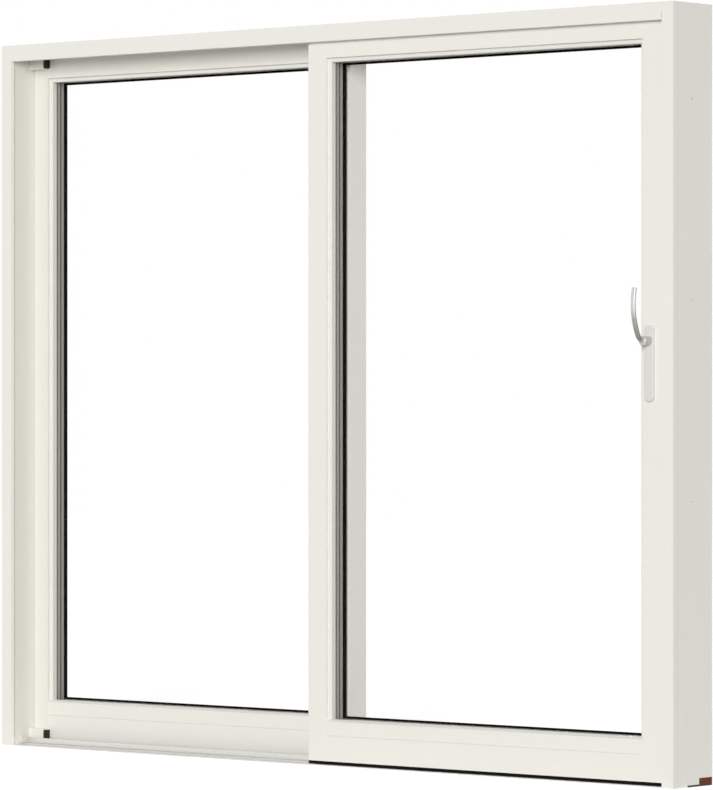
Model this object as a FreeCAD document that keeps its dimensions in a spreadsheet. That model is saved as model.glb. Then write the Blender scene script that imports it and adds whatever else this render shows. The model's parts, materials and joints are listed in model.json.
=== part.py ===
import FreeCAD, Part
import math
import os
import re
import Sketcher

# Two-leaf timber patio door: a fixed sash at the back and a sash that slides in front of it.
# Millimetres. +X is to the right seen from the room, +Y is outwards, +Z is up.
# The origin is at the middle of the threshold's underside.

# Driving dimensions
SIZES = {
    # Outer frame
    "frame_width": 2480,
    "frame_height": 2080,
    "frame_depth": 174,
    "jamb_thickness": 33,
    "head_thickness": 33,
    "jamb_lip_width": 38,
    "head_lip_height": 48,
    "lip_depth": 14,
    "lip_slit_width": 1.5,
    "lip_slit_height": 24,
    "arris": 2,
    "fixed_rebate": 11,
    "closing_pocket_wall": 27,
    "closing_stop_width": 45,
    "closing_gap": 6,
    "lining_groove_setback": 21,
    "lining_groove_width": 5,
    "lining_groove_depth": 0.5,
    "fixing_hole_diameter": 8,
    "fixing_hole_depth": 18,
    "fixing_hole_lowest": 219,
    "fixing_hole_spacing": 535,
    "fixing_hole_setback": 87,
    # Threshold
    "track_setback": 5,
    "track_depth": 59,
    "track_base": 3,
    "rib_setback": 36,
    "rib_thickness": 4,
    "rib_top": 7,
    "rail_setback": 49,
    "rail_thickness": 7,
    "rail_top": 22.5,
    "core_thickness": 5,
    "sill_setback": 12,
    "sill_height": 22,
    # Sashes
    "running_gap": 5,
    "sash_thickness": 70,
    "sash_face_setback": 19,
    "fixed_face_setback": 104,
    "stile_width": 67.5,
    "lock_stile_width": 82,
    "meeting_stile_left": 1190,
    "fixed_meeting_right": 1274,
    "sliding_bottom": 12,
    "sliding_top_rail": 55,
    "sliding_bottom_rail": 73,
    "fixed_bottom": 8,
    "fixed_top_rail": 72.7,
    "fixed_bottom_rail": 80,
    "bottom_board": 45,
    "bottom_board_bevel": 6,
    "board_joint": 2,
    # Glazing
    "bead_width": 12,
    "bead_setback": 8.5,
    "bead_depth": 17.5,
    "bead_round": 2,
    "pane_thickness": 4,
    "cavity": 12,
    "edge_clearance": 2,
    "spacer_height": 7,
    "gasket_flange": 1.5,
    "gasket_show": 6,
    "gasket_leg": 3.5,
    # Top guide, rollers and seals
    "guide_thickness": 8,
    "guide_drop": 10.5,
    "guide_groove_width": 18,
    "guide_groove_depth": 20,
    "roller_groove_width": 20,
    "roller_groove_depth": 48,
    "roller_diameter": 32,
    "roller_width": 9,
    "roller_spacing": 70,
    "carriage_length": 130,
    "carriage_height": 26,
    "carriage_inset": 180,
    "roller_clearance": 0.3,
    "seal_setback": 2,
    "seal_thickness": 12,
    "seal_height": 4,
    "brush_width": 12,
    "brush_depth": 8,
    "brush_inset": 20,
    # Stops
    "stop_length": 58.5,
    "stop_depth": 21,
    "upper_stop_height": 35,
    "lower_stop_height": 42,
    "pad_length": 7,
    "pad_trim": 3,
    # Head stop over the doorway
    "head_stop_height": 38,
    # Handle
    "handle_from_lock_edge": 57,
    "plate_width": 31,
    "plate_height": 202,
    "plate_thickness": 9,
    "plate_corner": 14,
    "plate_round": 2,
    "plate_bottom": 1022,
    "hub_height": 1183,
    "neck_diameter": 25,
    "neck_reach": 38,
    "neck_round": 4,
    "lever_root": 31,
    "lever_bend_radius": 27.6,
    "lever_bend_turn": 62,
    "lever_sweep_radius": 172.6,
    "lever_rise": 140,
    "lever_width": 13,
    "lever_thickness": 9,
    "lever_round": 3,
    "hub_clearance": 0.3,
}
# Sizes that follow from the ones above
TIES = {
    "sliding_top": "frame_height - head_thickness - running_gap",
    "closing_stop_depth": "frame_depth - sash_face_setback - sash_thickness - closing_gap",
    "sill_depth": "frame_depth - fixed_face_setback - sill_setback",
}

doc = FreeCAD.newDocument("SlidingPatioDoor")
sheet = doc.addObject("Spreadsheet::Sheet", "Sizes")
cells = {alias: str(size) for alias, size in SIZES.items()}
cells.update({alias: f"={expression}" for alias, expression in TIES.items()})
for row, (alias, content) in enumerate(cells.items(), start=1):
    sheet.set(f"A{row}", alias)
    sheet.set(f"B{row}", content)
    sheet.setAlias(f"B{row}", alias)
doc.recompute()

# Points closer than this, in millimetres, lie at the same place
LEVEL = 0.01
ALIAS_WORD = re.compile(r"\b(" + "|".join(cells) + r")\b")
sub_parts = []


def bound(expression):
    """The same expression with each size named as a cell of the sheet."""
    return ALIAS_WORD.sub(r"Sizes.\1", expression)


def number(expression):
    """What an expression is worth now, for placing sketch lines before they are constrained."""
    result = sheet.evalExpression(bound(expression))
    return float(getattr(result, "Value", result))


def new_body(label, x, y, z):
    """An empty body whose own origin stands at x, y, z."""
    body = doc.addObject("PartDesign::Body", label)
    body.Label = label
    for axis, expression in zip("xyz", (x, y, z)):
        body.setExpression(f"Placement.Base.{axis}", bound(expression))
    sub_parts.append(body)
    return body


def new_sketch(body, plane):
    """An empty sketch on one of the body's own origin planes."""
    sketch = body.newObject("Sketcher::SketchObject", f"{body.Label}_sketch")
    support = [item for item in body.Origin.OriginFeatures if item.Role == plane][0]
    sketch.AttachmentSupport = (support, [""])
    sketch.MapMode = "FlatFace"
    return sketch


def fix_point(sketch, geometry, position, u, v):
    """Bind one point of a sketch to expressions, measured from the sketch's origin."""
    for kind, axis, expression in (("DistanceX", -2, u), ("DistanceY", -1, v)):
        if expression == "0":
            sketch.addConstraint(Sketcher.Constraint("PointOnObject", geometry, position, axis))
        else:
            rule = Sketcher.Constraint(kind, -1, 1, geometry, position, number(expression))
            index = sketch.addConstraint(rule)
            sketch.setExpression(f"Constraints[{index}]", bound(expression))


def add_loop(sketch, points):
    """A closed outline of straight lines through points given as pairs of expressions."""
    corners = [FreeCAD.Vector(number(u), number(v), 0) for u, v in points]
    first = sketch.GeometryCount
    for start, end in zip(corners, corners[1:] + corners[:1]):
        sketch.addGeometry(Part.LineSegment(start, end), False)
    count = len(points)
    for index in range(count):
        following = first + (index + 1) % count
        sketch.addConstraint(Sketcher.Constraint("Coincident", first + index, 2, following, 1))
    for index, (u, v) in enumerate(points):
        fix_point(sketch, first + index, 1, u, v)


def add_circle(sketch, diameter, u, v):
    """A full circle of that diameter, centred on u, v."""
    centre = FreeCAD.Vector(number(u), number(v), 0)
    index = sketch.addGeometry(Part.Circle(centre, FreeCAD.Vector(0, 0, 1), number(diameter) / 2), False)
    fix_point(sketch, index, 3, u, v)
    rule = sketch.addConstraint(Sketcher.Constraint("Diameter", index, number(diameter)))
    sketch.setExpression(f"Constraints[{rule}]", bound(diameter))


def add_rounded(sketch, width, height, radius):
    """A rectangle with round corners, its lower left corner at the sketch's origin."""
    w, h, r = number(width), number(height), number(radius)
    near, far_u, far_v = radius, f"{width} - ({radius})", f"{height} - ({radius})"
    centres = [(far_u, far_v), (near, far_v), (near, near), (far_u, near)]
    quarter = math.pi / 2
    arcs = []
    for turn, (u, v) in enumerate(centres):
        centre = FreeCAD.Vector(number(u), number(v), 0)
        circle = Part.Circle(centre, FreeCAD.Vector(0, 0, 1), r)
        arc = Part.ArcOfCircle(circle, turn * quarter, (turn + 1) * quarter)
        arcs.append(sketch.addGeometry(arc, False))
    ends = [((w - r, h), (r, h)), ((0, h - r), (0, r)), ((r, 0), (w - r, 0)), ((w, r), (w, h - r))]
    lines = []
    for start, end in ends:
        segment = Part.LineSegment(FreeCAD.Vector(*start, 0), FreeCAD.Vector(*end, 0))
        lines.append(sketch.addGeometry(segment, False))
    for turn in range(4):
        following = arcs[(turn + 1) % 4]
        sketch.addConstraint(Sketcher.Constraint("Tangent", arcs[turn], 2, lines[turn], 1))
        sketch.addConstraint(Sketcher.Constraint("Tangent", lines[turn], 2, following, 1))
    for arc, (u, v) in zip(arcs, centres):
        fix_point(sketch, arc, 3, u, v)
        rule = sketch.addConstraint(Sketcher.Constraint("Radius", arc, r))
        sketch.setExpression(f"Constraints[{rule}]", bound(radius))


def pad(body, sketch, length, backwards=False, centred=False):
    """Extrude a sketch along its normal, or against it, or half to each side."""
    feature = body.newObject("PartDesign::Pad", f"{body.Label}_pad")
    feature.Profile = sketch
    feature.setExpression("Length", bound(length))
    feature.Reversed = backwards
    feature.Midplane = centred
    sketch.Visibility = False
    body.Tip = feature
    return feature


def pocket(body, sketch, length=None, backwards=False):
    """Cut a sketch out of the body, to a depth or right through both ways."""
    doc.recompute()
    before = body.Shape.Volume
    feature = body.newObject("PartDesign::Pocket", f"{body.Label}_pocket")
    feature.Profile = sketch
    feature.Reversed = backwards
    if length is None:
        feature.Type = "ThroughAll"
        feature.Midplane = True
    else:
        feature.setExpression("Length", bound(length))
    body.Tip = feature
    doc.recompute()
    if body.Shape.Volume >= before:
        raise RuntimeError(f"{body.Label}: a pocket cuts nothing")
    return feature


def upright(label, section, x, y, z, length):
    """A vertical length of a section drawn in plan."""
    body = new_body(label, x, y, z)
    sketch = new_sketch(body, "XY_Plane")
    add_loop(sketch, section)
    pad(body, sketch, length)
    return body


def crosspiece(label, section, x, y, z, length):
    """A horizontal length, along X, of a section drawn from the side."""
    body = new_body(label, x, y, z)
    sketch = new_sketch(body, "YZ_Plane")
    add_loop(sketch, section)
    pad(body, sketch, length)
    return body


def rectangle(u0, v0, u1, v1):
    """The corners of a rectangle between two opposite ones."""
    return [(u0, v0), (u1, v0), (u1, v1), (u0, v1)]


def cut_through(body, plane, *loops):
    """Cut outlines on an origin plane right through the body."""
    sketch = new_sketch(body, plane)
    for loop in loops:
        add_loop(sketch, loop)
    pocket(body, sketch)


def round_edges(body, radius, chosen):
    """Round the body's edges that the test picks."""
    doc.recompute()
    base = body.Tip
    names = []
    for index, edge in enumerate(base.Shape.Edges, start=1):
        if chosen(edge):
            names.append(f"Edge{index}")
    feature = body.newObject("PartDesign::Fillet", f"{body.Label}_fillet")
    feature.Base = (base, names)
    feature.setExpression("Radius", bound(radius))
    body.Tip = feature


# Places that several pieces share
LEFT = "-frame_width / 2"
FRONT = "-frame_depth / 2"
SASH_FACE = f"{FRONT} + sash_face_setback"
FIXED_FACE = f"{FRONT} + fixed_face_setback"
GLASS_FRONT = "(bead_setback + bead_depth)"
GLASS_DEPTH = "(3 * pane_thickness + 2 * cavity)"
LIP_FRONT = f"({GLASS_FRONT} + {GLASS_DEPTH} + gasket_flange)"
SLIDING_LEFT = f"{LEFT} + meeting_stile_left"
SLIDING_RIGHT = "(frame_width - closing_pocket_wall - running_gap)"


def outer_frame():
    """Jambs from floor to top with the head housed between them, and what is planted on them."""
    pocket_back = "frame_depth - closing_stop_depth"
    across = "closing_stop_width"
    wall_side = f"{across} - closing_pocket_wall"
    groove_back = "lining_groove_setback + lining_groove_width"
    left_section = [
        ("0", "lip_depth"), ("jamb_thickness", "lip_depth"), ("jamb_thickness", "fixed_face_setback"),
        ("jamb_thickness - fixed_rebate", "fixed_face_setback"),
        ("jamb_thickness - fixed_rebate", "frame_depth"), ("0", "frame_depth"), ("0", groove_back),
        ("lining_groove_depth", groove_back), ("lining_groove_depth", "lining_groove_setback"),
        ("0", "lining_groove_setback"),
    ]
    right_section = [
        (wall_side, "lip_depth"), (across, "lip_depth"), (across, "lining_groove_setback"),
        (f"{across} - lining_groove_depth", "lining_groove_setback"),
        (f"{across} - lining_groove_depth", groove_back), (across, groove_back), (across, "frame_depth"),
        (wall_side, "frame_depth"),
    ]
    lip = rectangle("0", "0", "jamb_lip_width", "lip_depth")
    stop = rectangle("0", pocket_back, wall_side, "frame_depth")
    right_x = f"-({LEFT}) - {across}"
    left_jamb = upright("left_jamb", left_section, LEFT, FRONT, "0", "frame_height")
    right_jamb = upright("right_jamb", right_section, right_x, FRONT, "0", "frame_height")
    left_lip = upright("left_jamb_lip", lip, LEFT, FRONT, "0", "frame_height")
    right_lip = upright("right_jamb_lip", lip, f"-({LEFT}) - jamb_lip_width", FRONT, "0", "frame_height")
    closing_stop = upright("closing_stop", stop, right_x, FRONT, "0", "frame_height")
    core_front = "track_setback + track_depth"
    core_back = "frame_depth - sill_depth"
    rail_back = "rail_setback + rail_thickness"
    rib_back = "rib_setback + rib_thickness"
    foot = [
        ("track_setback", "0"), ("frame_depth", "0"), ("frame_depth", "sill_height"),
        (core_back, "sill_height"), (core_back, "core_thickness"), (core_front, "core_thickness"),
        (core_front, "track_base"), (rail_back, "track_base"), (rail_back, "rail_top"),
        ("rail_setback", "rail_top"), ("rail_setback", "track_base"), (rib_back, "track_base"),
        (rib_back, "rib_top"), ("rib_setback", "rib_top"), ("rib_setback", "track_base"),
        ("track_setback", "track_base"),
    ]
    for piece in (left_jamb, right_jamb, left_lip, right_lip, closing_stop):
        cut_through(piece, "YZ_Plane", foot)
    for jamb, outer in ((left_jamb, "0"), (right_jamb, across)):
        holes = new_sketch(jamb, "YZ_Plane")
        if outer != "0":
            holes.setExpression("AttachmentOffset.Base.z", bound(outer))
        for step in range(4):
            height = f"fixing_hole_lowest + {step} * fixing_hole_spacing"
            add_circle(holes, "fixing_hole_diameter", "fixing_hole_setback", height)
        pocket(jamb, holes, "fixing_hole_depth", backwards=(outer == "0"))

    head_section = [
        ("lip_depth", "0"), ("fixed_face_setback", "0"), ("fixed_face_setback", "fixed_rebate"),
        ("frame_depth", "fixed_rebate"), ("frame_depth", "head_thickness"), ("lip_depth", "head_thickness"),
    ]
    inset = "jamb_thickness - fixed_rebate"
    span = f"(frame_width - ({inset}) - closing_pocket_wall)"
    soffit = "frame_height - head_thickness"
    head = crosspiece("head", head_section, f"{LEFT} + {inset}", FRONT, soffit, span)
    stop_over = "closing_stop_width - closing_pocket_wall"
    cut_through(
        head, "XY_Plane",
        rectangle("0", "lip_depth", "fixed_rebate", "fixed_face_setback"),
        rectangle(f"{span} - ({stop_over})", pocket_back, span, "frame_depth"),
    )
    lip_section = rectangle("0", "0", "lip_depth", "head_lip_height")
    lip_span = "(frame_width - 2 * jamb_lip_width)"
    lip_bottom = "frame_height - head_lip_height"
    head_lip = crosspiece("head_lip", lip_section, f"{LEFT} + jamb_lip_width", FRONT, lip_bottom, lip_span)
    slit = new_sketch(head_lip, "XZ_Plane")
    add_loop(slit, rectangle(f"{lip_span} - lip_slit_width", "0", lip_span, "lip_slit_height"))
    pocket(head_lip, slit, "lip_depth")
    round_edges(head_lip, "arris", lambda edge: near_line(edge, y=0, z=0))


def threshold():
    """Aluminium track, thermal break and hardwood sill, each as long as the door is wide."""
    base = "track_base"
    rail_front = "rail_setback - track_setback"
    rail_back = f"{rail_front} + rail_thickness"
    rib_front = "rib_setback - track_setback"
    rib_back = f"{rib_front} + rib_thickness"
    track = [
        ("0", "0"), ("track_depth", "0"), ("track_depth", base), (rail_back, base), (rail_back, "rail_top"),
        (rail_front, "rail_top"), (rail_front, base), (rib_back, base), (rib_back, "rib_top"),
        (rib_front, "rib_top"), (rib_front, base), ("0", base),
    ]
    crosspiece("threshold_track", track, LEFT, f"{FRONT} + track_setback", "0", "frame_width")
    core_front = "track_setback + track_depth"
    core = rectangle("0", "0", f"frame_depth - sill_depth - ({core_front})", "core_thickness")
    crosspiece("threshold_core", core, LEFT, f"{FRONT} + {core_front}", "0", "frame_width")
    sill = rectangle("0", "0", "sill_depth", "sill_height")
    crosspiece("outer_sill", sill, LEFT, f"{FRONT} + frame_depth - sill_depth", "0", "frame_width")


class Sash:
    """Where one glazed sash stands: its face, its edges and the sight lines of its glass."""

    def __init__(self, name, face, left, right, stiles, bottom, top, rails):
        self.name, self.face, self.left, self.right = name, face, left, right
        self.left_stile, self.right_stile = stiles
        self.bottom, self.top = bottom, top
        self.bottom_rail, self.top_rail = rails
        self.inner_left = f"({left} + {self.left_stile})"
        self.inner_right = f"({right} - {self.right_stile})"
        self.span = f"({self.inner_right} - {self.inner_left})"
        self.sight_left = f"({self.inner_left} + bead_width)"
        self.sight_right = f"({self.inner_right} - bead_width)"
        self.sight_bottom = f"({bottom} + {self.bottom_rail} + bottom_board)"
        self.sight_top = f"({top} - {self.top_rail} - bead_width)"


FIXED = Sash(
    "fixed", FIXED_FACE, f"({LEFT} + jamb_thickness - fixed_rebate)", f"({LEFT} + fixed_meeting_right)",
    ("stile_width", "stile_width"), "fixed_bottom", "(frame_height - head_thickness + fixed_rebate)",
    ("fixed_bottom_rail", "fixed_top_rail"),
)
SLIDING = Sash(
    "sliding", SASH_FACE, f"({SLIDING_LEFT})", f"({LEFT} + {SLIDING_RIGHT})",
    ("stile_width", "lock_stile_width"), "sliding_bottom", "sliding_top",
    ("sliding_bottom_rail", "sliding_top_rail"),
)
RAIL_CENTRE = "(rail_setback + rail_thickness / 2)"
RAIL_IN_SASH = f"({RAIL_CENTRE} - sash_face_setback)"


def stiles(sash, left_name, right_name):
    """The two uprights, rebated for the glass."""
    deep = "sash_thickness"
    wide = sash.left_stile
    section = [
        ("0", "0"), (wide, "0"), (wide, LIP_FRONT), (f"{wide} + bead_width", LIP_FRONT),
        (f"{wide} + bead_width", deep), ("0", deep),
    ]
    height = f"{sash.top} - {sash.bottom}"
    left = upright(left_name, section, sash.left, sash.face, sash.bottom, height)
    wide = sash.right_stile
    section = [
        ("bead_width", "0"), (f"{wide} + bead_width", "0"), (f"{wide} + bead_width", deep), ("0", deep),
        ("0", LIP_FRONT), ("bead_width", LIP_FRONT),
    ]
    right = upright(right_name, section, sash.sight_right, sash.face, sash.bottom, height)
    return left, right


def trim_for_lips(rail, sash):
    """Notch a rail's ends round the back lips of the stiles."""
    cut_through(
        rail, "XY_Plane",
        rectangle("0", LIP_FRONT, "bead_width", "sash_thickness"),
        rectangle(f"{sash.span} - bead_width", LIP_FRONT, sash.span, "sash_thickness"),
    )


def rails(sash, top_groove, bottom_groove):
    """Rails between the stiles, and the flush board under the glass. Gives back the bottom rail."""
    deep = "sash_thickness"
    top = f"bead_width + {sash.top_rail}"
    section = [("0", "bead_width"), ("0", top)] + top_groove(top)
    section += [(deep, top), (deep, "0"), (LIP_FRONT, "0"), (LIP_FRONT, "bead_width")]
    rail = crosspiece(f"{sash.name}_top_rail", section, sash.inner_left, sash.face, sash.sight_top, sash.span)
    trim_for_lips(rail, sash)

    shoulder = sash.bottom_rail
    sight = f"{sash.bottom_rail} + bottom_board"
    section = [("0", "0")] + bottom_groove + [
        (deep, "0"), (deep, sight), (LIP_FRONT, sight), (LIP_FRONT, f"{sight} - bead_width"),
        (GLASS_FRONT, f"{sight} - bead_width"), (GLASS_FRONT, shoulder),
        ("board_joint", shoulder), ("0", f"{shoulder} - board_joint"),
    ]
    rail = crosspiece(f"{sash.name}_bottom_rail", section, sash.inner_left, sash.face, sash.bottom, sash.span)
    trim_for_lips(rail, sash)

    section = [
        ("0", "0"), (GLASS_FRONT, "0"), (GLASS_FRONT, "bottom_board"), ("bead_setback", "bottom_board"),
        ("0", "bottom_board - bottom_board_bevel"),
    ]
    crosspiece(
        f"{sash.name}_bottom_board", section, sash.inner_left, sash.face,
        f"{sash.bottom} + {sash.bottom_rail}", sash.span,
    )
    return rail


def beads(sash):
    """Glazing beads, mitred at the top, set back from the sash's face and rounded beside the glass."""
    section = rectangle("0", "0", "bead_width", "bead_depth")
    front = f"{sash.face} + bead_setback"
    sight = f"({sash.sight_top} - {sash.sight_bottom})"
    height = f"({sight} + bead_width)"
    left = upright(f"{sash.name}_left_bead", section, sash.inner_left, front, sash.sight_bottom, height)
    right = upright(f"{sash.name}_right_bead", section, sash.sight_right, front, sash.sight_bottom, height)
    section = rectangle("0", "0", "bead_depth", "bead_width")
    top = crosspiece(f"{sash.name}_top_bead", section, sash.inner_left, front, sash.sight_top, sash.span)
    cut_through(left, "XZ_Plane", [("bead_width", sight), ("bead_width", height), ("0", height)])
    cut_through(right, "XZ_Plane", [("0", sight), ("bead_width", height), ("0", height)])
    cut_through(
        top, "XZ_Plane",
        [("0", "0"), ("bead_width", "0"), ("0", "bead_width")],
        [(sash.span, "0"), (sash.span, "bead_width"), (f"{sash.span} - bead_width", "0")],
    )
    width = number("bead_width")
    round_edges(left, "bead_round", lambda edge: near_line(edge, x=width, y=0))
    round_edges(right, "bead_round", lambda edge: near_line(edge, x=0, y=0))
    round_edges(top, "bead_round", lambda edge: near_line(edge, y=0, z=0))


def near_line(edge, **place):
    """Whether every end of an edge lies at the given coordinates."""
    for vertex in edge.Vertexes:
        for axis, wanted in place.items():
            if abs(getattr(vertex.Point, axis) - wanted) > LEVEL:
                return False
    return True


def repeat_along_y(body, pitch, count):
    """Copy the body's last feature outwards, count in all."""
    feature = body.Tip
    pattern = body.newObject("PartDesign::LinearPattern", f"{body.Label}_pattern")
    pattern.Originals = [feature]
    direction = [item for item in body.Origin.OriginFeatures if item.Role == "Y_Axis"][0]
    pattern.Direction = (direction, [""])
    pattern.Occurrences = count
    pattern.setExpression("Length", bound(f"({pitch}) * {count - 1}"))
    body.Tip = pattern


def sight_sheet(sash, label, y, grow, thickness, hole_shrink=None):
    """A sheet that reaches past the sight lines, with a hole inside them where one is asked for."""
    body = new_body(label, f"{sash.sight_left} - ({grow})", y, f"{sash.sight_bottom} - ({grow})")
    sketch = new_sketch(body, "XZ_Plane")
    wide = f"({sash.sight_right} - {sash.sight_left} + 2 * ({grow}))"
    high = f"({sash.sight_top} - {sash.sight_bottom} + 2 * ({grow}))"
    add_loop(sketch, rectangle("0", "0", wide, high))
    if hole_shrink is not None:
        edge = f"({grow} + {hole_shrink})"
        add_loop(sketch, rectangle(edge, edge, f"{wide} - {edge}", f"{high} - {edge}"))
    pad(body, sketch, thickness, backwards=True)
    return body


def glazing(sash):
    """Triple glazing: three panes, two spacers and the gasket against the sash's back lip."""
    front = f"{sash.face} + {GLASS_FRONT}"
    cover = "bead_width - edge_clearance"
    pitch = "pane_thickness + cavity"
    panes = sight_sheet(sash, f"{sash.name}_glass", front, cover, "pane_thickness")
    repeat_along_y(panes, pitch, 3)
    behind_pane = f"{front} + pane_thickness"
    spacers = sight_sheet(sash, f"{sash.name}_spacers", behind_pane, "spacer_height", "cavity", "0")
    repeat_along_y(spacers, pitch, 2)
    behind_glass = f"{front} + {GLASS_DEPTH}"
    label = f"{sash.name}_outer_gasket"
    gasket = sight_sheet(sash, label, behind_glass, cover, "gasket_flange", "gasket_show")
    leg = new_sketch(gasket, "XZ_Plane")
    wide = f"({sash.sight_right} - {sash.sight_left} + 2 * ({cover}))"
    high = f"({sash.sight_top} - {sash.sight_bottom} + 2 * ({cover}))"
    for edge in (f"({cover})", f"({cover} + gasket_show)"):
        add_loop(leg, rectangle(edge, edge, f"{wide} - {edge}", f"{high} - {edge}"))
    pad(gasket, leg, "gasket_flange + gasket_leg", backwards=True)


def no_groove(top):
    """A plain top edge."""
    return []


def guide_groove(top):
    """The slot in the sliding sash's top edge that the guide runs in."""
    near = f"{RAIL_IN_SASH} - guide_groove_width / 2"
    far = f"{RAIL_IN_SASH} + guide_groove_width / 2"
    low = f"{top} - guide_groove_depth"
    return [(near, top), (near, low), (far, low), (far, top)]


def fixed_sash():
    """The sash that stays shut, at the back of the frame, its foot hanging over the sill's front edge."""
    left, meeting = stiles(FIXED, "fixed_left_stile", "fixed_meeting_stile")
    bottom = rails(FIXED, no_groove, [])
    over_sill = rectangle("sill_setback", "0", "sash_thickness", "sill_height - fixed_bottom")
    for piece in (left, meeting, bottom):
        cut_through(piece, "YZ_Plane", over_sill)
    beads(FIXED)
    glazing(FIXED)


def sliding_sash():
    """The sash that slides in front of the fixed one, grooved for its rail and guide."""
    meeting, lock = stiles(SLIDING, "sliding_meeting_stile", "sliding_lock_stile")
    near = f"{RAIL_IN_SASH} - roller_groove_width / 2"
    far = f"{RAIL_IN_SASH} + roller_groove_width / 2"
    deep = "roller_groove_depth"
    rails(SLIDING, guide_groove, [(near, "0"), (near, deep), (far, deep), (far, "0")])
    height = f"{SLIDING.top} - {SLIDING.bottom}"
    guide_near = f"{RAIL_IN_SASH} - guide_groove_width / 2"
    guide_far = f"{RAIL_IN_SASH} + guide_groove_width / 2"
    for stile in (meeting, lock):
        cut_through(
            stile, "YZ_Plane",
            rectangle(near, "0", far, "rail_top - sliding_bottom + running_gap"),
            rectangle(guide_near, f"{height} - guide_groove_depth", guide_far, height),
        )
    round_edges(meeting, "arris", lambda edge: near_line(edge, x=0, y=0))
    beads(SLIDING)
    glazing(SLIDING)
    width = f"{SLIDING.right} - {SLIDING.left}"
    seal = rectangle("0", "0", "seal_thickness", "seal_height")
    crosspiece(
        "sliding_bottom_seal", seal, SLIDING.left, f"{SASH_FACE} + seal_setback",
        "sliding_bottom - seal_height", width,
    )
    brush = rectangle("0", "0", "brush_width", "brush_depth")
    upright(
        "sliding_meeting_seal", brush, f"{SLIDING.left} + brush_inset", f"{SASH_FACE} + sash_thickness",
        SLIDING.bottom, height,
    )


def running_gear():
    """The head's guide, and two roller carriages in the sliding sash's bottom groove."""
    guide = rectangle("0", "0", "guide_thickness", "guide_drop")
    crosspiece(
        "head_guide", guide, f"{LEFT} + jamb_thickness",
        f"{FRONT} + {RAIL_CENTRE} - guide_thickness / 2", "frame_height - head_thickness - guide_drop",
        "frame_width - jamb_thickness - closing_pocket_wall",
    )
    bottom = "sliding_bottom + roller_groove_depth - carriage_height"
    places = {
        "left_roller_carriage": f"{SLIDING.left} + carriage_inset",
        "right_roller_carriage": f"{SLIDING.right} - carriage_inset - carriage_length",
    }
    for label, x in places.items():
        body = new_body(label, x, f"{FRONT} + {RAIL_CENTRE}", bottom)
        housing = new_sketch(body, "XZ_Plane")
        add_loop(housing, rectangle("0", "0", "carriage_length", "carriage_height"))
        pad(body, housing, "roller_groove_width", centred=True)
        wheels = new_sketch(body, "XZ_Plane")
        axle = f"rail_top + roller_clearance + roller_diameter / 2 - ({bottom})"
        for side in ("-", "+"):
            add_circle(wheels, "roller_diameter", f"carriage_length / 2 {side} roller_spacing / 2", axle)
        pad(body, wheels, "roller_width", centred=True)


def stops():
    """Blocks in the corners beside the left jamb, each with a rubber pad that meets the open sash."""
    x = f"{LEFT} + jamb_thickness"
    y = f"{FIXED_FACE} - stop_depth"
    soffit = "frame_height - head_thickness"
    upper = f"{soffit} - upper_stop_height"
    rows = (
        ("upper", upper, "upper_stop_height", f"{upper} + pad_trim"),
        ("lower", "core_thickness", "lower_stop_height", "core_thickness"),
    )
    block = rectangle("0", "0", "stop_length", "stop_depth")
    pad_section = rectangle("0", "0", "pad_length", "stop_depth")
    for name, bottom, height, pad_bottom in rows:
        upright(f"{name}_stop_block", block, x, y, bottom, height)
        upright(f"{name}_stop_pad", pad_section, f"{x} + stop_length", y, pad_bottom, f"{height} - pad_trim")


def doorway_stop():
    """The strip under the head, over the doorway, in line with the fixed sash."""
    section = rectangle("0", "0", "sash_thickness", "head_stop_height")
    span = "frame_width - closing_stop_width - fixed_meeting_right"
    bottom = f"{FIXED.top} - head_stop_height"
    crosspiece("doorway_head_stop", section, FIXED.right, FIXED_FACE, bottom, span)


def add_arc(sketch, centre, radius, start, end):
    """An arc of known numbers, still to be constrained; angles in radians from the sketch's first axis."""
    circle = Part.Circle(FreeCAD.Vector(*centre, 0), FreeCAD.Vector(0, 0, 1), radius)
    return sketch.addGeometry(Part.ArcOfCircle(circle, start, end), False)


def lever_edge(sketch, offset):
    """One long edge of the lever's outline: a tight bend, then a wide sweep up to the tip, tangent to it."""
    turn = "(lever_bend_turn * 1 deg)"
    axis_height = "(lever_bend_radius + lever_thickness / 2)"
    sweep_height = f"({axis_height} + (lever_sweep_radius - lever_bend_radius) * cos({turn}))"
    sweep_setback = f"((lever_sweep_radius - lever_bend_radius) * sin({turn}) - lever_root)"
    bend, sweep = f"(lever_bend_radius {offset})", f"(lever_sweep_radius {offset})"
    tip_slope = f"((lever_rise + lever_thickness / 2 - {sweep_height}) / lever_sweep_radius)"
    downward = -math.pi / 2
    junction = downward + math.radians(number("lever_bend_turn"))
    centre = (number("lever_root"), number(axis_height))
    first = add_arc(sketch, centre, number(bend), downward, junction)
    centre = (-number(sweep_setback), number(sweep_height))
    second = add_arc(sketch, centre, number(sweep), junction, math.asin(number(tip_slope)))
    fix_point(sketch, first, 3, "lever_root", axis_height)
    heights = (
        (first, 1, f"{axis_height} - {bend}"),
        (first, 2, f"{axis_height} - {bend} * cos({turn})"),
        (second, 2, f"{sweep_height} + {sweep} * {tip_slope}"),
    )
    rule = Sketcher.Constraint("Vertical", first, 1, first, 3)
    sketch.addConstraint(rule)
    for geometry, position, height in heights:
        fix_height(sketch, geometry, position, height)
    sketch.addConstraint(Sketcher.Constraint("Tangent", first, 2, second, 1))
    rule = sketch.addConstraint(Sketcher.Constraint("Radius", second, number(sweep)))
    sketch.setExpression(f"Constraints[{rule}]", bound(sweep))
    return first, second


def fix_height(sketch, geometry, position, height):
    """Bind only the height of one point of a sketch."""
    value = number(height)
    if abs(value) < LEVEL:
        sketch.addConstraint(Sketcher.Constraint("PointOnObject", geometry, position, -1))
        return
    index = sketch.addConstraint(Sketcher.Constraint("DistanceY", -1, 1, geometry, position, value))
    sketch.setExpression(f"Constraints[{index}]", bound(height))


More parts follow.
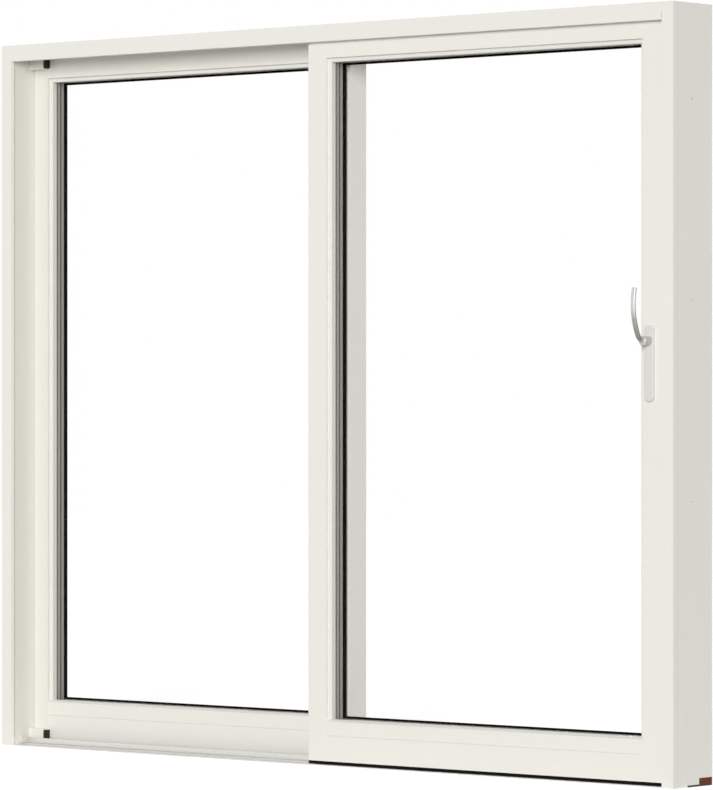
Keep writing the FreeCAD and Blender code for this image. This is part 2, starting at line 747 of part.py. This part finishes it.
def is_arc(edge):
    """Whether an edge is part of a circle."""
    return edge.Curve.TypeId == "Part::GeomCircle"


def lever_bar(lever):
    """The lever's flat bar: its outline seen from the side, given its width and rounded all round."""
    outline = new_sketch(lever, "YZ_Plane")
    facing_out = FreeCAD.Rotation(FreeCAD.Vector(0, 1, 0), 180)
    outline.AttachmentOffset = FreeCAD.Placement(FreeCAD.Vector(0, 0, 0), facing_out)
    outline.setExpression("AttachmentOffset.Base.y", bound("-lever_thickness / 2"))
    outer = lever_edge(outline, "+ lever_thickness / 2")
    inner = lever_edge(outline, "- lever_thickness / 2")
    for arcs, position in (((outer[1], inner[1]), 2), ((inner[0], outer[0]), 1)):
        ends = [outline.getPoint(arc, position) for arc in arcs]
        line = outline.addGeometry(Part.LineSegment(*ends), False)
        for end, arc in enumerate(arcs, start=1):
            outline.addConstraint(Sketcher.Constraint("Coincident", line, end, arc, position))
    pad(lever, outline, "lever_width", centred=True)
    root = -number("lever_root")
    round_edges(lever, "lever_round", lambda edge: is_arc(edge) and not near_line(edge, y=root))


def handle():
    """Long backplate, and a lever whose flat bar sweeps up from the end of a round neck."""
    centre = f"{SLIDING.right} - handle_from_lock_edge"
    plate = new_body("handle_plate", f"{centre} - plate_width / 2", SASH_FACE, "plate_bottom")
    sketch = new_sketch(plate, "XZ_Plane")
    add_rounded(sketch, "plate_width", "plate_height", "plate_corner")
    pad(plate, sketch, "plate_thickness")
    face = -number("plate_thickness")
    round_edges(plate, "plate_round", lambda edge: near_line(edge, y=face))

    lever = new_body("lever_handle", centre, SASH_FACE, "hub_height")
    lever_bar(lever)
    neck = new_sketch(lever, "XZ_Plane")
    seat = "(plate_thickness + hub_clearance)"
    neck.setExpression("AttachmentOffset.Base.z", bound(seat))
    add_circle(neck, "neck_diameter", "0", "0")
    pad(lever, neck, f"neck_reach - {seat}")
    neck_end = -number("neck_reach")
    round_edges(lever, "neck_round", lambda edge: near_line(edge, y=neck_end) and edge.isClosed())


outer_frame()
threshold()
fixed_sash()
sliding_sash()
running_gear()
stops()
doorway_stop()
handle()
doc.recompute()

faulty = [item.Label for item in doc.Objects if {"Invalid", "Error"} & set(item.State)]
faulty += [body.Label for body in sub_parts if body.Shape.isNull() or not body.Shape.isValid()]
if faulty:
    raise RuntimeError("These objects failed: " + ", ".join(faulty))
os.makedirs("parts", exist_ok=True)
for body in sub_parts:
    body.Shape.exportStep(os.path.join("parts", f"{body.Label}.step"))
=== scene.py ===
import json
import math

import bmesh
import bpy
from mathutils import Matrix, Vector


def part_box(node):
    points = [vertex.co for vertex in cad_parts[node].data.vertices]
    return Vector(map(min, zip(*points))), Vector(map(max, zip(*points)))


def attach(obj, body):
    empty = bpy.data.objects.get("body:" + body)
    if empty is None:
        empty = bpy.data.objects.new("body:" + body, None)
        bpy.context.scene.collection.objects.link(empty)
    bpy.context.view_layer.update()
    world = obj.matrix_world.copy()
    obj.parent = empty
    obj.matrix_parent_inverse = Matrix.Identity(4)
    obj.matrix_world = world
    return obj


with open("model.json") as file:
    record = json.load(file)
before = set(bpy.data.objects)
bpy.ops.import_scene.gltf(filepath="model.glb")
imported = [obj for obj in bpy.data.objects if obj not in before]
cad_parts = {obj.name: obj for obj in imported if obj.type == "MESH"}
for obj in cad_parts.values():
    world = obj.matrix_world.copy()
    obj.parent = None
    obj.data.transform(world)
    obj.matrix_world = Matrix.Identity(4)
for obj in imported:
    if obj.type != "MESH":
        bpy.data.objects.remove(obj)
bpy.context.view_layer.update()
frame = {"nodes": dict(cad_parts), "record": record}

# Photograph's frame, in pixels
PHOTO_WIDTH, PHOTO_HEIGHT = 713, 790
# Camera: where it stands in the door's frame, in metres, and which way it looks on plan
CAMERA_AT = Vector((8.66, -10.13, 1.0237))
CAMERA_TURN = math.radians(40.3)
FOCAL_PIXELS = 4723
HORIZON_PIXEL = 401.0
MIDDLE_PIXEL = 356.0
SENSOR_MM = 36.0
FAR_CLIP = 100.0

# Colours, linear
PAINT = (0.83, 0.815, 0.75)
ALUMINIUM = (0.74, 0.73, 0.70)
NICKEL = (0.73, 0.715, 0.69)
LIT_GRIP_NICKEL = (0.62, 0.61, 0.585)
SHADED_BEND_NICKEL = (0.25, 0.245, 0.23)
NECK_NICKEL = (0.56, 0.55, 0.53)
STEEL = (0.5, 0.5, 0.49)
BLACK_RUBBER = (0.003, 0.003, 0.003)
BLACK_PLASTIC = (0.012, 0.012, 0.012)
BUFFER_RUBBER = (0.022, 0.02, 0.013)
SPACER_GREY = (0.36, 0.342, 0.305)
SEALANT = (0.13, 0.123, 0.11)
HARDWOOD = (0.15, 0.048, 0.021)
FLOOR = (0.8, 0.8, 0.8)
WHITE = (1.0, 1.0, 1.0)

# Shares of the paint's colour: in its duller patches, and as painted shade on pieces in the recess and on
# the fixed left stile
PATCH_TONE = 0.985
RECESS_SHADE_TONE = 0.95
FIXED_STILE_SHADE_TONE = 0.94
# Painted pieces inside the frame's recess, whose paint is darkened a touch as painted shade
RECESS_SHADED_PIECES = (
    "left_jamb", "fixed_left_bead", "fixed_right_bead", "fixed_top_bead",
    "sliding_left_bead", "sliding_right_bead", "sliding_top_bead",
)
# Dark lines painted as the shade in a groove and in a joint: the axis that they cross, where they begin and
# end on it, in metres, and their share
LINING_SHADE_LINE = ("Y", -0.0675, -0.0595, 0.91)
REVEAL_SHADE_LINE = ("X", -1.2085, -1.2025, 0.8)
# The painted highlight on the left lip's inner side, paler where a rounded edge would catch the light: how
# far it reaches to either side, in metres, and its share
LIP_HIGHLIGHT_REACH = 0.0005
LIP_HIGHLIGHT_TONE = 1.14

# The lever, in metres: from its hub up to its grip, the span of its painted shade and highlight, and from
# its bar into its neck
LEVER_RISE = ("Z", 1.17, 1.33)
LEVER_NECK = ("Y", -0.118, -0.108)
# How far roughness swings to either side of its middle
METAL_SWING = 0.06
MOULDED_SWING = 0.08
# Low, because the photograph shows no reflection in the panes
GLASS_IOR = 1.05

# Brush: the waves of its frayed edge, each a height in metres and a turn per step, and where its tip lies
FRAY_WAVES = ((0.0003, 2.4), (0.0002, 5.3))
TIP_START, TIP_END = 0.2, 0.8

# Axes of the door's frame
X_AXIS, Z_AXIS = 0, 2
AXIS_NAMES = "xyz"
# The range that holds most of a noise's values
NOISE_LOW, NOISE_HIGH = 0.3, 0.7
# The Mix node's sockets for colours, by index because others share their names
MIX_FACTOR, MIX_FIRST, MIX_SECOND = 0, 6, 7
MIX_RESULT = 2
# Rays that show the backdrop, and rays that carry the lamps' light
SEEN_RAYS = ("Is Camera Ray", "Is Glossy Ray", "Is Transmission Ray")
LIGHT_RAYS = ("Is Shadow Ray", "Is Diffuse Ray")


def opaque(colour):
    """A colour with full alpha, as sockets and ramps take it."""
    return (*colour, 1.0)


def shade(colour, share):
    """A colour made darker or lighter by a share."""
    return tuple(part * share for part in colour)


def along(axis, fine, coarse):
    """Scales for a pattern that is fine across a piece and coarse along one axis."""
    return tuple(coarse if index == axis else fine for index in range(3))


def any_ray(tree, names):
    """1 for a ray of any of the named kinds, and 0 for the rest."""
    path = tree.nodes.new("ShaderNodeLightPath")
    total = path.outputs[names[0]]
    for name in names[1:]:
        either = tree.nodes.new("ShaderNodeMath")
        either.operation = "MAXIMUM"
        tree.links.new(total, either.inputs[0])
        tree.links.new(path.outputs[name], either.inputs[1])
        total = either.outputs["Value"]
    return total


def mix_shaders(tree, factor, first, second):
    """The first shader where the factor is 0, and the second where it is 1."""
    node = tree.nodes.new("ShaderNodeMixShader")
    for source, target in zip((factor, first, second), node.inputs):
        tree.links.new(source, target)
    return node.outputs["Shader"]


class Surface:
    """A material under construction: its Principled shader, and short ways to add nodes to it."""

    def __init__(self, name):
        self.material = bpy.data.materials.new(name)
        self.material.use_nodes = True
        self.tree = self.material.node_tree
        self.shader = self.tree.nodes["Principled BSDF"]
        self.output = self.tree.nodes["Material Output"]

    def constants(self, values):
        """Values that are the same all over, on the shader's own sockets."""
        for socket, value in values.items():
            self.shader.inputs[socket].default_value = value

    def add(self, kind, **values):
        """A new node; each value goes to the input of that name, or else to the node's own setting."""
        node = self.tree.nodes.new(kind)
        for key, value in values.items():
            if key in node.inputs:
                node.inputs[key].default_value = value
            else:
                setattr(node, key, value)
        return node

    def link(self, source, target):
        self.tree.links.new(source, target)

    def feed(self, source, socket):
        """Link a source to a socket of the shader."""
        self.link(source, self.shader.inputs[socket])

    def noise(self, stretch, detail=3.0):
        """Noise in the door's frame, with about so many features a metre along each axis."""
        coordinates = self.add("ShaderNodeTexCoord")
        mapping = self.add("ShaderNodeMapping", Scale=stretch)
        self.link(coordinates.outputs["Object"], mapping.inputs["Vector"])
        node = self.add("ShaderNodeTexNoise", Scale=1.0, Detail=detail)
        self.link(mapping.outputs["Vector"], node.inputs["Vector"])
        return node.outputs["Fac"]

    def colours(self, factor, *stops):
        """A ramp from (position, colour) stops."""
        ramp = self.add("ShaderNodeValToRGB")
        elements = ramp.color_ramp.elements
        while len(elements) < len(stops):
            elements.new(1.0)
        for element, (position, colour) in zip(elements, stops):
            element.position = position
            element.color = opaque(colour)
        self.link(factor, ramp.inputs["Fac"])
        return ramp.outputs["Color"]

    def mix(self, factor, first, second, blend="MIX"):
        """Two colours mixed; the factor and the colours are sockets or constants."""
        node = self.add("ShaderNodeMix", data_type="RGBA", blend_type=blend)
        for index, value in ((MIX_FACTOR, factor), (MIX_FIRST, first), (MIX_SECOND, second)):
            if isinstance(value, bpy.types.NodeSocket):
                self.link(value, node.inputs[index])
            else:
                node.inputs[index].default_value = value
        return node.outputs[MIX_RESULT]

    def rescale(self, value, start, end, low=0.0, high=1.0):
        """The value's range from start to end, mapped on low to high."""
        node = self.add("ShaderNodeMapRange")
        ends = {"From Min": start, "From Max": end, "To Min": low, "To Max": high}
        for socket, number in ends.items():
            node.inputs[socket].default_value = number
        self.link(value, node.inputs["Value"])
        return node.outputs["Result"]

    def position(self, axis, kind="Object"):
        """Where a point lies on an axis: in metres of the door's frame, or if Generated, on the piece."""
        coordinates = self.add("ShaderNodeTexCoord")
        axes = self.add("ShaderNodeSeparateXYZ")
        self.link(coordinates.outputs[kind], axes.inputs["Vector"])
        return axes.outputs[axis]

    def reach(self, axis, start, end):
        """How far a point lies on the way from start to end along an axis of the door's frame."""
        return self.rescale(self.position(axis), start, end)

    def bump(self, relief, depth):
        """Let the shader's normal follow a relief that is so many metres deep."""
        node = self.add("ShaderNodeBump", Strength=1.0, Distance=depth)
        self.link(relief, node.inputs["Height"])
        self.feed(node.outputs["Normal"], "Normal")

    def coat(self, colour, relief, roughness, depth):
        """The material with this colour, and with roughness and bump that follow the relief's noise."""
        low, high = roughness
        self.feed(colour, "Base Color")
        self.feed(self.rescale(relief, NOISE_LOW, NOISE_HIGH, low, high), "Roughness")
        self.bump(relief, depth)
        return self.material


def painted_timber(name, axis, tone=1.0, line=None):
    """Satin white paint, the grain just showing along the piece, with or without a line across it."""
    surface = Surface(f"{name}_{AXIS_NAMES[axis]}")
    drift = surface.noise((1.6, 1.6, 1.6), detail=2.0)
    patch = shade(PAINT, PATCH_TONE * tone)
    paint = surface.colours(drift, (NOISE_LOW, patch), (NOISE_HIGH, shade(PAINT, tone)))
    # A line across the paint: painted shade along a groove or joint, or a painted highlight on an edge
    if line:
        *span, share = line
        tint = shade(WHITE, share)
        stops = (0.0, WHITE), (0.2, tint), (0.8, tint), (1.0, WHITE)
        paint = surface.mix(1.0, paint, surface.colours(surface.reach(*span), *stops), blend="MULTIPLY")
    grain = surface.noise(along(axis, fine=420.0, coarse=9.0), detail=4.0)
    return surface.coat(paint, grain, roughness=(0.36, 0.46), depth=0.00006)


def drawn_metal(name, colour, axis, roughness, fine, metallic):
    """Metal with hairlines along one axis; less than fully metallic under a satin lacquer."""
    surface = Surface(name)
    surface.constants({"Metallic": metallic})
    lines = surface.noise(along(axis, fine=fine, coarse=12.0))
    furrow = shade(colour, 0.94)
    tone = surface.colours(lines, (NOISE_LOW, furrow), (NOISE_HIGH, colour))
    swing = (roughness - METAL_SWING, roughness + METAL_SWING)
    return surface.coat(tone, lines, swing, depth=0.000008)


def lever_nickel_painted_light():
    """Satin nickel with painted light: a painted highlight up the grip and painted shade down the bend,
    plain on the neck.
    """
    surface = Surface("satin_nickel_lever")
    surface.constants({"Metallic": 0.5})
    half_shaded = shade(SHADED_BEND_NICKEL, 1.5)
    shade_to_highlight = surface.colours(
        surface.reach(*LEVER_RISE),
        (0.0, SHADED_BEND_NICKEL), (0.12, SHADED_BEND_NICKEL), (0.42, half_shaded), (0.62, LIT_GRIP_NICKEL),
    )
    whole = surface.mix(surface.reach(*LEVER_NECK), shade_to_highlight, opaque(NECK_NICKEL))
    lines = surface.noise(along(Z_AXIS, fine=900.0, coarse=12.0))
    return surface.coat(whole, lines, roughness=(0.4, 0.52), depth=0.000004)


def dark_moulding(name, colour, roughness, gloss):
    """Black rubber or plastic with a faint moulded bloom."""
    surface = Surface(name)
    surface.constants({"Specular IOR Level": gloss})
    bloom = surface.noise((260.0, 260.0, 260.0))
    bloomed = shade(colour, 1.8)
    tone = surface.colours(bloom, (0.35, colour), (0.75, bloomed))
    swing = (roughness - MOULDED_SWING, roughness + MOULDED_SWING)
    return surface.coat(tone, bloom, swing, depth=0.00008)


def spacer_bar():
    """Grey warm-edge spacers, darker where the sealant meets each pane."""
    surface = Surface("spacer_grey")
    tone = surface.colours(
        surface.position("Y", "Generated"),
        (0.0, SEALANT), (0.06, SPACER_GREY), (0.37, SPACER_GREY), (0.43, SEALANT),
        (0.57, SEALANT), (0.63, SPACER_GREY), (0.94, SPACER_GREY), (1.0, SEALANT),
    )
    specks = surface.noise((500.0, 500.0, 500.0))
    return surface.coat(tone, specks, roughness=(0.5, 0.7), depth=0.00005)


def oiled_hardwood():
    """Brown hardwood with grain along the sill."""
    surface = Surface("hardwood")
    surface.constants({"Specular IOR Level": 0.15})
    grain = surface.noise(along(X_AXIS, fine=160.0, coarse=3.0), detail=6.0)
    dark = shade(HARDWOOD, 0.6)
    light = shade(HARDWOOD, 1.35)
    tone = surface.colours(grain, (0.3, dark), (0.55, HARDWOOD), (0.75, light))
    return surface.coat(tone, grain, roughness=(0.55, 0.7), depth=0.0002)


def clear_glass():
    """Panes with little reflection and a trace of roller wave, which let the lamps' light through."""
    surface = Surface("glass")
    surface.constants({
        "Base Color": opaque(WHITE), "Roughness": 0.0, "IOR": GLASS_IOR, "Transmission Weight": 1.0,
    })
    surface.bump(surface.noise((5.0, 5.0, 2.0), detail=1.0), depth=0.00003)
    clear = surface.add("ShaderNodeBsdfTransparent").outputs["BSDF"]
    light_ray = any_ray(surface.tree, LIGHT_RAYS)
    pane = mix_shaders(surface.tree, light_ray, surface.shader.outputs["BSDF"], clear)
    surface.link(pane, surface.output.inputs["Surface"])
    return surface.material


def longest_axis(node):
    """The index of the axis along which a node is longest."""
    low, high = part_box(node)
    size = high - low
    return max(range(3), key=lambda index: size[index])


def slot_looks():
    """The material of each slot in the record, apart from the paint."""
    return {
        "aluminium": drawn_metal(
            "aluminium", ALUMINIUM, X_AXIS, roughness=0.3, fine=900.0, metallic=0.75,
        ),
        "satin_nickel": drawn_metal(
            "satin_nickel", NICKEL, Z_AXIS, roughness=0.62, fine=1400.0, metallic=0.1,
        ),
        "roller_steel": drawn_metal(
            "roller_steel", STEEL, X_AXIS, roughness=0.4, fine=700.0, metallic=1.0,
        ),
        "black_rubber": dark_moulding("black_rubber", BLACK_RUBBER, roughness=0.68, gloss=0.08),
        "black_plastic": dark_moulding("black_plastic", BLACK_PLASTIC, roughness=0.5, gloss=0.4),
        "spacer_grey": spacer_bar(),
        "hardwood": oiled_hardwood(),
        "glass": clear_glass(),
    }


def lined_paint():
    """The paint of the pieces with a line across it: painted shade along a groove and a joint, and a
    painted highlight on the left lip's inner side.
    """
    lip_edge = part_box("left_jamb_lip")[1].x
    lip_highlight = ("X", lip_edge - LIP_HIGHLIGHT_REACH, lip_edge + LIP_HIGHLIGHT_REACH, LIP_HIGHLIGHT_TONE)
    return {
        "right_jamb": painted_timber("jamb_paint", Z_AXIS, line=LINING_SHADE_LINE),
        # The fixed left stile's paint is darkened as painted shade, with a painted shade line along its
        # joint
        "fixed_left_stile": painted_timber(
            "fixed_stile_paint", Z_AXIS, tone=FIXED_STILE_SHADE_TONE, line=REVEAL_SHADE_LINE,
        ),
        "left_jamb_lip": painted_timber("lip_highlight_paint", Z_AXIS, line=lip_highlight),
    }


def dress_nodes():
    """Give every CAD node its own material or that of its slot, and give back the slots' materials."""
    looks = slot_looks()
    slots = {row["node"]: row["material_slot"] for row in frame["record"]["subparts"]}
    both = (X_AXIS, Z_AXIS)
    open_paint = {axis: painted_timber("white_paint", axis) for axis in both}
    # Pieces in the recess get paint darkened as painted shade
    recess_shaded_paint = {axis: painted_timber("recess_shaded_paint", axis, tone=RECESS_SHADE_TONE) for axis in both}
    buffer = dark_moulding("stop_rubber", BUFFER_RUBBER, roughness=0.7, gloss=0.2)
    own_looks = {"lever_handle": lever_nickel_painted_light(), **lined_paint()}
    for name, node in frame["nodes"].items():
        if name in own_looks:
            material = own_looks[name]
        elif slots[name] == "white_paint":
            paints = recess_shaded_paint if name in RECESS_SHADED_PIECES else open_paint
            material = paints[Z_AXIS if longest_axis(name) == Z_AXIS else X_AXIS]
        elif name.endswith("stop_pad"):
            material = buffer
        else:
            material = looks[slots[name]]
        node.data.materials.clear()
        node.data.materials.append(material)
    return looks


def brush_and_gap_shade(material, depth=0.003, reach=0.0042, step=0.004):
    """Brush under the sliding sash's seal: a tapered pile with a frayed edge, just clear of the track;
    partly a real brush seal, partly a dark piece that stands in for the shade in the gap under the sash.
    """
    low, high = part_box("sliding_bottom_seal")
    count = round((high.x - low.x) / step)
    mesh = bmesh.new()
    rings = []
    for index in range(count + 1):
        x = low.x + (high.x - low.x) * index / count
        fray = sum(height * math.sin(index * turn) for height, turn in FRAY_WAVES)
        section = (
            (low.y, low.z), (low.y + TIP_START * depth, low.z - reach + fray),
            (low.y + TIP_END * depth, low.z - reach - fray), (low.y + depth, low.z),
        )
        rings.append([mesh.verts.new((x, y, z)) for y, z in section])
    for near, far in zip(rings, rings[1:]):
        for side in range(len(near)):
            mesh.faces.new((near[side], near[side - 1], far[side - 1], far[side]))
    mesh.faces.new(rings[0])
    mesh.faces.new(reversed(rings[-1]))
    bmesh.ops.recalc_face_normals(mesh, faces=mesh.faces)
    data = bpy.data.meshes.new("sliding_bottom_brush")
    mesh.to_mesh(data)
    mesh.free()
    data.materials.append(material)
    brush = bpy.data.objects.new("sliding_bottom_brush", data)
    bpy.context.scene.collection.objects.link(brush)
    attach(brush, "sliding_sash")


def white_world(ambient):
    """An even sky for the light, and plain white where it is seen."""
    world = bpy.data.worlds.new("studio")
    world.use_nodes = True
    bpy.context.scene.world = world
    tree = world.node_tree
    light = tree.nodes["Background"]
    seen = tree.nodes.new("ShaderNodeBackground")
    for node, strength in ((light, ambient), (seen, 1.0)):
        node.inputs["Color"].default_value = opaque(WHITE)
        node.inputs["Strength"].default_value = strength
    seen_ray = any_ray(tree, SEEN_RAYS)
    sky = mix_shaders(tree, seen_ray, light.outputs["Background"], seen.outputs["Background"])
    tree.links.new(sky, tree.nodes["World Output"].inputs["Surface"])


def pale_floor(size, lift):
    """A pale floor that keeps the door's shadow, and where it is seen glows enough to join the backdrop."""
    surface = Surface("floor")
    surface.constants({
        "Roughness": 1.0, "Specular IOR Level": 0.0,
        "Base Color": opaque(FLOOR), "Emission Color": opaque(WHITE),
    })
    glow = surface.add("ShaderNodeMath", operation="MULTIPLY")
    surface.link(any_ray(surface.tree, SEEN_RAYS), glow.inputs[0])
    glow.inputs[1].default_value = lift
    surface.feed(glow.outputs["Value"], "Emission Strength")
    bpy.ops.mesh.primitive_plane_add(size=size)
    floor = bpy.context.object
    floor.name = "floor"
    floor.data.materials.append(surface.material)


def strip_softbox(name, azimuth, elevations, spread, strength):
    """Even light as from a tall strip softbox far away; angles in degrees, azimuth from the front."""
    for elevation in elevations:
        data = bpy.data.lights.new(name, "SUN")
        data.energy = strength / len(elevations)
        data.angle = math.radians(spread)
        lamp = bpy.data.objects.new(name, data)
        lamp.rotation_euler = (math.radians(90.0 - elevation), 0.0, math.radians(azimuth))
        bpy.context.scene.collection.objects.link(lamp)


def photo_camera():
    """A level camera at the photograph's angle, shifted so that the horizon lies where it does there."""
    data = bpy.data.cameras.new("camera")
    data.sensor_width = SENSOR_MM
    data.lens = FOCAL_PIXELS / PHOTO_HEIGHT * SENSOR_MM
    data.shift_x = (PHOTO_WIDTH / 2 - MIDDLE_PIXEL) / PHOTO_HEIGHT
    data.shift_y = (HORIZON_PIXEL - PHOTO_HEIGHT / 2) / PHOTO_HEIGHT
    data.clip_end = FAR_CLIP
    camera = bpy.data.objects.new("camera", data)
    camera.location = CAMERA_AT
    camera.rotation_euler = (math.pi / 2, 0.0, CAMERA_TURN)
    bpy.context.scene.collection.objects.link(camera)
    bpy.context.scene.camera = camera


looks = dress_nodes()
# A black brush seal, which also stands in for the shade in the gap under the sash
brush_and_gap_shade(looks["black_rubber"])
white_world(ambient=0.36)
pale_floor(size=40.0, lift=0.6)
strip_softbox("key", azimuth=33.0, elevations=(4.0, 11.0, 18.0), spread=9.0, strength=2.3)
strip_softbox("back_fill", azimuth=208.0, elevations=(5.0, 11.0), spread=9.0, strength=1.5)
photo_camera()
bpy.context.scene.view_settings.view_transform = "Standard"
